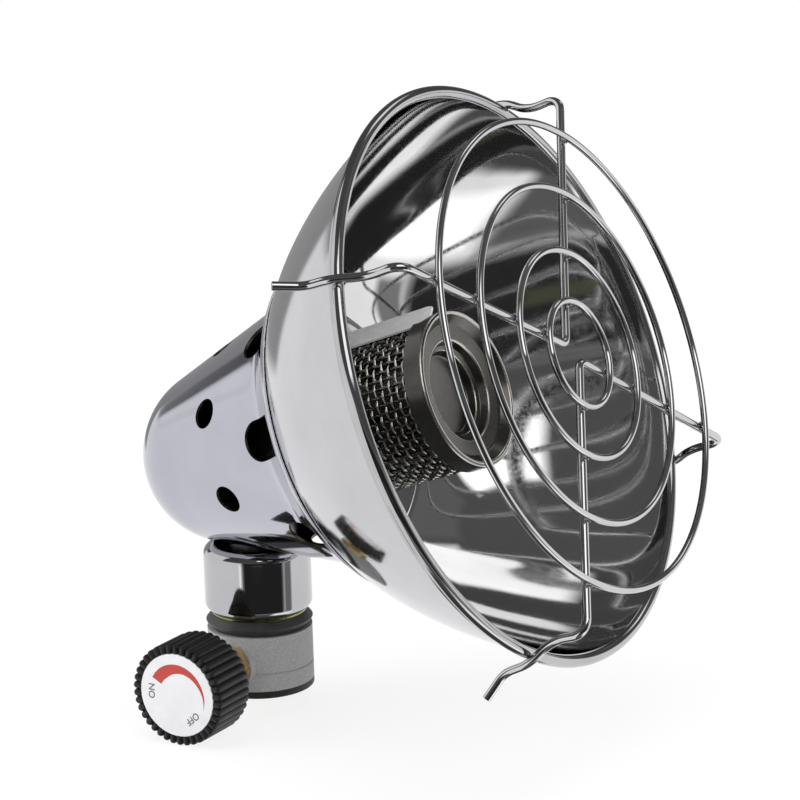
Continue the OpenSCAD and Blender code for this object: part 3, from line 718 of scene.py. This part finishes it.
# ---------------------------------------------------------------- knob
def knob_grip():
    """The ribbed grip: round ribs along its side that run over its front edge up to the dial."""
    ribs, points_a_rib, deep, front_round = 38, 12, 0.72, 0.9
    back = KNOB_FRONT - KNOB_LEN

    def valley(a):
        """0 on a rib's top, 1 between two ribs."""
        t = (a * ribs / TURN) % 1.0
        return (abs(t - 0.5) * 2) ** 2.4

    # Each point: radius, height, and how much lower a valley is in radius and in height.
    line = [(9.0, back + 2.2, 0, 0), (9.0, back, 0, 0), (KNOB_R - 1.6, back, 0.3, 0),
            (KNOB_R - 0.7, back + 0.12, 0.5, 0), (KNOB_R - 0.2, back + 0.5, 0.68, 0), (KNOB_R, back + 1.2, deep, 0)]
    line += [(KNOB_R, back + 1.2 + (KNOB_LEN - 2.2) * u, deep, 0) for u in fractions(4, 1)]
    line += [(KNOB_R - front_round * (1 - math.cos(t)), KNOB_FRONT - 1.0 + front_round * math.sin(t),
              deep, 0.75 * math.sin(t)) for t in [math.pi / 2 * u for u in fractions(6, 1)]]
    line += [(12.6, KNOB_FRONT - 0.08, 0.5, 0.8), (11.95, KNOB_FRONT - 0.1, 0.2, 0.7),
             (11.62, KNOB_FRONT - 0.2, 0.0, 0.5), (11.56, KNOB_FRONT - 1.1, 0.0, 0), (0.0, KNOB_FRONT - 1.12, 0.0, 0)]
    hub = rounded([(9.0, back + 2.2), (9.0, back + 9.0, 0.6), (5.6, back + 9.0, 0.4), (5.6, back + 1.0, 0.3),
                   (3.02, back + 1.0)], closed=False)
    return [lathe(line, knob, ribs * points_a_rib, closed=False, depth=valley),
            lathe(hub, knob, 96, closed=False)]


piece("knob_grip", knob_grip(), M_KNOB, body="knob_turning", stands_for=("knob",), sharp=48)

plate = [(0, DIAL_Z - 0.8), (DIAL_R, DIAL_Z - 0.8), (DIAL_R, DIAL_Z, 0.2), (0, DIAL_Z)]
piece("dial_plate", [lathe(rounded(plate, closed=False), knob, closed=False)], M_DIAL, body="knob_turning",
      stands_for=("dial_disc",))


def dial_point(angle, r, z):
    """A point on the dial: angle counter-clockwise from the top, in degrees."""
    a = math.radians(angle)
    return knob(-r * math.sin(a), r * math.cos(a), z)


def crescent():
    """The red mark: thick at its end by ON, running out to a point by OFF."""
    verts, n = [], 72
    start, full, tip = 61.0, 29.0, -110.0
    for u in fractions(n):
        angle = start + (tip - start) * u
        out = (0.75 + 0.03 * max(0.0, (-60 - angle) / 50)) * DIAL_R
        width = 0.28 * min(1.0, (angle - tip) / (full - tip)) * DIAL_R + 0.01
        verts += [dial_point(angle, r, z) for r, z in ((out, DIAL_Z - 0.02), (out, DIAL_Z + 0.03),
                                                       (out - width, DIAL_Z + 0.03), (out - width, DIAL_Z - 0.02))]
    rings = rows_of(n + 1, 4)
    return verts, skin(rings) + [rings[0], rings[-1]]


piece("dial_crescent", [crescent()], M_RED, body="knob_turning", sharp=20)


def word(name, text, angle, r, size=2.7):
    """A word on the dial, its foot towards the dial's centre."""
    curve = bpy.data.curves.new(name, "FONT")
    curve.body = text
    curve.size = size * MM
    curve.align_x = "CENTER"
    curve.align_y = "CENTER"
    curve.extrude = 0.02 * MM
    curve.offset = 0.03 * MM
    flat = bpy.data.objects.new(name + "_text", curve)
    scene.collection.objects.link(flat)
    bpy.context.view_layer.update()
    mesh = bpy.data.meshes.new_from_object(flat.evaluated_get(bpy.context.evaluated_depsgraph_get()))
    bpy.data.objects.remove(flat)
    a = math.radians(angle)
    out, along = Vector((-math.sin(a), 0, math.cos(a))), Vector((math.cos(a), 0, math.sin(a)))
    place = Matrix((along, out, Vector((0, -1, 0)))).transposed().to_4x4()
    place.translation = dial_point(angle, r, DIAL_Z + 0.02)
    mesh.transform(place)
    mesh.materials.clear()
    mesh.materials.append(M_INK)
    ob = bpy.data.objects.new(name, mesh)
    scene.collection.objects.link(ob)
    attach(ob, "knob_turning")


word("dial_word_on", "ON", 88, 0.685 * DIAL_R)
word("dial_word_off", "OFF", -141, 0.66 * DIAL_R)


# ---------------------------------------------------------------- burner
def gauze_weave():
    """Plain weave round the burner: wires along the axis, and rings, over and under each other."""
    n_long, n_rings, wire, swing = 58, 15, 0.36, 0.34
    low, high, mid = FLOOR_W + 2.6, CAP_W - 3.2, GAUZE_R - 0.45
    pitch = (high - low) / n_rings
    parts = []
    for i in range(n_long):
        side, path = (1 if i % 2 else -1), []
        for k in range(n_rings * 4 + 1):
            q = mid + side * swing * math.cos(math.pi * (k / 4 - 0.5))
            path.append(head(*(spot(360 * i / n_long) * q), low + pitch * k / 4))
        # Material 0 is the long wires' painted shade, 1 below the rings' painted highlight.
        parts.append((*sweep(path, wire, 6), 0))
    for j in range(n_rings):
        side, path = (-1 if j % 2 else 1), []
        for k in range(n_long * 4):
            q = mid + side * swing * math.cos(math.pi * k / 4)
            path.append(head(*(spot(90 * k / n_long) * q), low + pitch * (j + 0.5)))
        parts.append((*sweep(path, wire, 6, closed=True), 1))
    return parts


piece("gauze_weave", gauze_weave(), [M_GAUZE_LONG_SHADE, M_GAUZE_RING_HIGHLIGHT],
      stands_for=("burner_gauze",), sharp=80)


def burner_cap():
    """The stepped cap: material 1 is its skirt and its inside, 2 its edges with their painted highlight."""
    step, well, floor = CAP_W - 2.9, CAP_W - 5.7, CAP_W - 8
    edges = [(CAP_R, CAP_W), (CAP_R - 1.5, CAP_W), (13.5, step), (11.4, well)]
    line = rounded([(CAP_R, CAP_W - 5.5), (CAP_R, CAP_W, 0.9), (CAP_R - 1.5, CAP_W, 0.8),
                    (CAP_R - 3.7, CAP_W - 2.6, 0.8), (13.5, step, 0.6), (12.7, CAP_W - 5.2, 0.5),
                    (11.4, well, 0.5), (10.8, floor, 0.7), (0, floor)], closed=False, steps=6)
    back = moved(line, SHEET)
    back[-1] = (0.0, back[-1][1])
    around, numbers = 160, []
    for a, b in zip(line, line[1:]):
        skirt = a[0] > CAP_R - 0.05 and b[1] < CAP_W - 1.2
        # Faces near these edges get the painted highlight.
        highlit = min(math.dist(((a[0] + b[0]) / 2, (a[1] + b[1]) / 2), e) for e in edges) < 0.55
        numbers += [1 if skirt else 2 if highlit else 0] * around
    return [(*lathe(line, head, around, closed=False), numbers),
            (*lathe([line[0]] + back, head, around, closed=False), 1)]


piece("burner_cap_shell", burner_cap(), [M_CAP, M_SKIRT, M_CAP_EDGE_HIGHLIGHT],
      stands_for=("burner_cap",))


def seam_strip():
    """The seam's cover strip: flat, fixed at one edge, standing off at the other."""
    r, thick, low, high = GAUZE_R + 0.1, 0.6, FLOOR_W + 5.2, CAP_W - 6.0
    out, side = spot(29), spot(119)
    plan = [(-2.5, low), (-2.5, high + 1.2), (-4.0, high + 3.4), (-6.5, high + 5.2), (-9.4, high + 4.6),
            (-10.0, high + 3.2), (-10.0, low)]
    verts = [head(*(out * h + side * y), w) for h in (r, r + thick) for y, w in plan]
    rings = rows_of(2, len(plan))
    return verts, skin(rings) + rings


# The strip's near-white paint is a painted lamp reflection.
piece("seam_strip", [seam_strip()], M_STRIP_LAMP_REFLECTION, stands_for=("gauze_strip",))

# ---------------------------------------------------------------- guard
for k, r in enumerate(RING_RADII, 1):
    n = 200 if r > 40 else 120
    path = [head(*(spot(360 * i / n) * r), RING_W) for i in range(n)]
    piece("guard_loop_%d" % k, [sweep(path, RING_T, 16, closed=True)], M_WIRE,
          stands_for=("guard_ring_%d" % k,))

# A leg from its hooked foot inwards: radius and height of its corners, and their bends
FOOT_R = RIM_R + BEAD + ROD_T + 0.2
FOOT = [(FOOT_R + 6.6, RIM - 12.5), (FOOT_R + 0.9, RIM - 7), (FOOT_R + 0.1, RIM + 0.5),
        (RIM_R - 1.7, RIM + 7.6), (RIM_R - 1, ROD_W)]
FOOT_BENDS, CORNER_BEND = [7.0, 12.0, 12.0, 3.8], 2.8
# Each bent wire: its corner near the middle, and the directions of its two legs
UPPER = (3, 2.1), (-33.5, 62)
LOWER = (-1.9, -2), (147, -120.5)


def leg_line(corner, a):
    """A leg's direction, and the point of its line that is nearest to the head's axis."""
    out, c = spot(a), Vector(corner)
    return out, c - c.dot(out) * out


def guard_wire(corner, angles):
    """A bent wire: leg, corner, leg."""
    legs = []
    for a in angles:
        out, near = leg_line(corner, a)
        legs.append([head(*(near + r * out), w) for r, w in FOOT])
    points = [*legs[0], head(*corner, ROD_W), *legs[1][::-1]]
    bends = [*FOOT_BENDS, CORNER_BEND, *FOOT_BENDS[::-1]]
    return sweep(bend_path(points, [r * MM for r in bends]), ROD_T, 16)


piece("guard_bent_wire_upper", [guard_wire(*UPPER)], M_WIRE,
      stands_for=("guard_wire_upper",), sharp=50)
piece("guard_bent_wire_lower", [guard_wire(*LOWER)], M_WIRE,
      stands_for=("guard_wire_lower",), sharp=50)


def weld_bead(p, out, side, phase):
    """A small uneven bead at p, between a ring and a bent wire."""
    half_long, half_wide, half_high, uneven = 0.85, 0.5, 0.6, 0.12
    verts, rows, around = [], 7, 12
    for t in [math.pi * u for u in fractions(rows)]:
        for k in range(around):
            b = TURN * k / around
            reach = math.sin(t) * (1 + uneven * math.sin(3 * b + phase) * math.sin(t))
            q = p + out * half_long * reach * math.cos(b) + side * half_wide * reach * math.sin(b)
            verts.append(head(*q, (RING_W + ROD_W) / 2 + half_high * math.cos(t)))
    return verts, skin(rows_of(rows + 1, around))


def weld_spots():
    """Beads on both sides of each crossing of a ring and a leg."""
    parts, off = [], 0.95
    for corner, angles in (UPPER, LOWER):
        for a in angles:
            out, near = leg_line(corner, a)
            side = Vector((-out.y, out.x))
            for r in RING_RADII:
                crossing = near + math.sqrt(r * r - near.length_squared) * out
                parts += [weld_bead(crossing + side * s * off, out, side, r + a) for s in (-1, 1)]
    return parts


piece("guard_weld_spots", weld_spots(), M_WIRE, sharp=80)

# ---------------------------------------------------------------- camera, fitted to the photograph
CAMERA_AT = Vector((0.43576, -0.67022, 0.26744))
CAMERA_LOOK = Vector((-0.48830, 0.84218, -0.22869)).normalized()
CAMERA_ROLL = math.radians(-1.717)


def set_camera():
    cam = bpy.data.cameras.new("camera")
    cam.lens = 135
    cam.sensor_width = 36
    cam.clip_start = 0.05
    ob = bpy.data.objects.new("camera", cam)
    scene.collection.objects.link(ob)
    level = CAMERA_LOOK.cross(Vector((0, 0, 1))).normalized()
    right = level * math.cos(CAMERA_ROLL) + level.cross(CAMERA_LOOK) * math.sin(CAMERA_ROLL)
    place = Matrix((right, right.cross(CAMERA_LOOK), -CAMERA_LOOK)).transposed().to_4x4()
    place.translation = CAMERA_AT
    ob.matrix_world = place
    scene.camera = ob


set_camera()

# ---------------------------------------------------------------- studio
MID = Vector((0.035, 0, 0.085))              # the middle of the object, in metres
LAMP_LEVEL = 0.8                             # cards from this level on are sampled as lamps
WHITE = (1.0, 1.0, 1.0, 1.0)


def area(name, at, size, power):
    """A soft lamp aimed at the object, itself unseen."""
    lamp = bpy.data.lights.new(name, "AREA")
    lamp.shape = "RECTANGLE"
    lamp.size = lamp.size_y = size
    lamp.energy = power
    ob = bpy.data.objects.new(name, lamp)
    scene.collection.objects.link(ob)
    ob.location = at
    ob.rotation_euler = (MID - Vector(at)).to_track_quat("-Z", "Y").to_euler()
    ob.visible_camera = False
    ob.visible_glossy = False


area("soft_left", (-1.5, -1.3, 1.1), 1.2, 21)
area("soft_right", (1.6, -0.9, 1.0), 1.2, 15)
area("soft_top", (0.0, 0.1, 2.0), 1.6, 18)


def bare_tree(owner):
    owner.use_nodes = True
    owner.node_tree.nodes.clear()
    return owner.node_tree


def white_room(lighting, looks):
    """The world: the strength it lights with, and how bright it looks by itself and in reflections."""
    scene.world = bpy.data.worlds.new("studio")
    t = bare_tree(scene.world)
    ray = t.nodes.new("ShaderNodeLightPath")
    seen, out = ray, "Is Camera Ray"
    for kind in ("Is Glossy Ray", "Is Transmission Ray"):
        either = t.nodes.new("ShaderNodeMath")
        either.operation = "MAXIMUM"
        link(t, seen, out, either, 0)
        link(t, ray, kind, either, 1)
        seen, out = either, 0
    mix = t.nodes.new("ShaderNodeMixShader")
    link(t, seen, 0, mix, "Fac")
    for i, strength in ((1, lighting), (2, looks)):
        link(t, set_inputs(t.nodes.new("ShaderNodeBackground"), Color=WHITE, Strength=strength), 0, mix, i)
    link(t, mix, 0, t.nodes.new("ShaderNodeOutputWorld"), "Surface")


white_room(lighting=0.40, looks=1.0)


def card_material(name, level, tint):
    """Plain light of a level and tint where the mesh's cover is 1, nothing where it is 0."""
    m = bpy.data.materials.new(name)
    t = bare_tree(m)
    cover = t.nodes.new("ShaderNodeAttribute")
    cover.attribute_name = "cover"
    mix = t.nodes.new("ShaderNodeMixShader")
    link(t, cover, "Fac", mix, "Fac")
    link(t, t.nodes.new("ShaderNodeBsdfTransparent"), 0, mix, 1)
    link(t, set_inputs(t.nodes.new("ShaderNodeEmission"), Color=(*tint, 1.0), Strength=level), 0, mix, 2)
    link(t, mix, 0, t.nodes.new("ShaderNodeOutputMaterial"), "Surface")
    m.cycles.emission_sampling = "NONE" if level < LAMP_LEVEL else "AUTO"
    return m


def card(name, az, el, level, feather, radius, tint=(1.0, 1.0, 1.0)):
    """A studio card or lamp face: a patch of a big sphere round the object, seen only in reflections.

    az is its range of directions in degrees, from -Y towards +X, and el its range above level.
    Its edges fade over feather degrees; a bigger radius, in metres, puts it behind other cards."""
    n, verts, cover = 24, [], []
    for i in fractions(n):
        for k in fractions(n):
            u, w = az[0] + (az[1] - az[0]) * i, el[0] + (el[1] - el[0]) * k
            a, e = math.radians(u), math.radians(w)
            verts.append(MID + radius * Vector((math.sin(a) * math.cos(e), -math.cos(a) * math.cos(e), math.sin(e))))
            near = []
            if el[0] > -90:
                near.append(w - el[0])
            if el[1] < 90:
                near.append(el[1] - w)
            if az[1] - az[0] < 360:
                near += [(u - az[0]) * math.cos(e), (az[1] - u) * math.cos(e)]
            cover.append(min(1.0, max(0.0, min(near) / feather)))
    rows = rows_of(n + 1, n + 1)
    mesh = bpy.data.meshes.new(name)
    mesh.from_pydata(verts, [], [[p[k], q[k], q[k + 1], p[k + 1]] for p, q in zip(rows, rows[1:]) for k in range(n)])
    mesh.attributes.new("cover", "FLOAT", "POINT").data.foreach_set("value", cover)
    mesh.materials.append(card_material(name, level, tint))
    ob = bpy.data.objects.new(name, mesh)
    scene.collection.objects.link(ob)
    ob.visible_camera = False
    ob.visible_diffuse = False
    ob.visible_shadow = False
    ob.visible_transmission = False
    ob.visible_volume_scatter = False


# Azimuth 30 is the camera's side. The room above the table is dark, with lamp faces in it.
card("card_room", (-180, 180), (8, 90), 0.09, 4, 3.5)
card("card_camera_side", (-4, 92), (-36, 14), 0.025, 5, 3.45)
card("card_right_side", (89, 110), (-32, 14), 0.22, 4, 3.4)
card("card_table_edge", (-2, 67), (-90, -32), 0.12, 5, 3.3)
card("card_below", (-180, 180), (-90, -58), 0.07, 3, 3.25)
card("card_left_wall", (-180, -112), (-11, 18), 0.33, 2.5, 3.2)
card("card_right_wall", (98, 152), (24, 64), 0.13, 4, 3.2)
card("lamp_low", (68, 122), (-56, -36), 1.5, 3, 3.1)
card("lamp_right", (30, 90), (27, 66), 1.8, 3.5, 3.0)
card("lamp_left", (-103, -45), (7, 52), 1.0, 3, 3.0)
card("lamp_back", (153, 180), (36, 60), 1.2, 4, 3.0)
card("lamp_strip", (-10, -2), (-22, -5), 1.6, 4, 3.0)
card("card_olive", (20, 44), (-17.5, -8.5), 0.075, 3, 3.05, tint=(0.95, 1.0, 0.66))

# ---------------------------------------------------------------- floor
FLOOR_Z, FLOOR_HALF = -0.0049, 1.4           # in metres, as are the next two
NEAR, FAR = 0.10, 0.40                       # the glow's share grows to all between these
NEAR_GLOW = 0.80                             # its share under the object; the rest is lit paint


def floor_material():
    """White: it glows for the camera, less near the object, where lit paint shows the shadows."""
    m = bpy.data.materials.new("floor_white")
    m.use_nodes = True
    t = m.node_tree
    paint = set_inputs(t.nodes["Principled BSDF"], Base_Color=(0.93, 0.93, 0.93, 1), Roughness=0.9,
                       Specular_IOR_Level=0.0)
    length = t.nodes.new("ShaderNodeVectorMath")
    length.operation = "LENGTH"
    link(t, t.nodes.new("ShaderNodeTexCoord"), "Object", length, 0)
    share = set_inputs(t.nodes.new("ShaderNodeMapRange"), From_Min=NEAR, From_Max=FAR, To_Min=NEAR_GLOW, To_Max=1.0)
    share.interpolation_type = "SMOOTHSTEP"
    link(t, length, "Value", share, "Value")
    shown = t.nodes.new("ShaderNodeMath")
    shown.operation = "MULTIPLY"
    link(t, t.nodes.new("ShaderNodeLightPath"), "Is Camera Ray", shown, 0)
    link(t, share, "Result", shown, 1)
    mix = t.nodes.new("ShaderNodeMixShader")
    link(t, shown, 0, mix, "Fac")
    link(t, paint, 0, mix, 1)
    link(t, set_inputs(t.nodes.new("ShaderNodeEmission"), Color=WHITE, Strength=1.05), 0, mix, 2)
    link(t, mix, 0, t.nodes["Material Output"], "Surface")
    return m


mesh = bpy.data.meshes.new("floor")
mesh.from_pydata([(x, y, FLOOR_Z) for x, y in ((-FLOOR_HALF, -FLOOR_HALF), (FLOOR_HALF, -FLOOR_HALF),
                                               (FLOOR_HALF, FLOOR_HALF), (-FLOOR_HALF, FLOOR_HALF))],
                 [], [(0, 1, 2, 3)])
mesh.materials.append(floor_material())
floor = bpy.data.objects.new("floor", mesh)
scene.collection.objects.link(floor)
floor.visible_glossy = False

scene.view_settings.view_transform = "Standard"
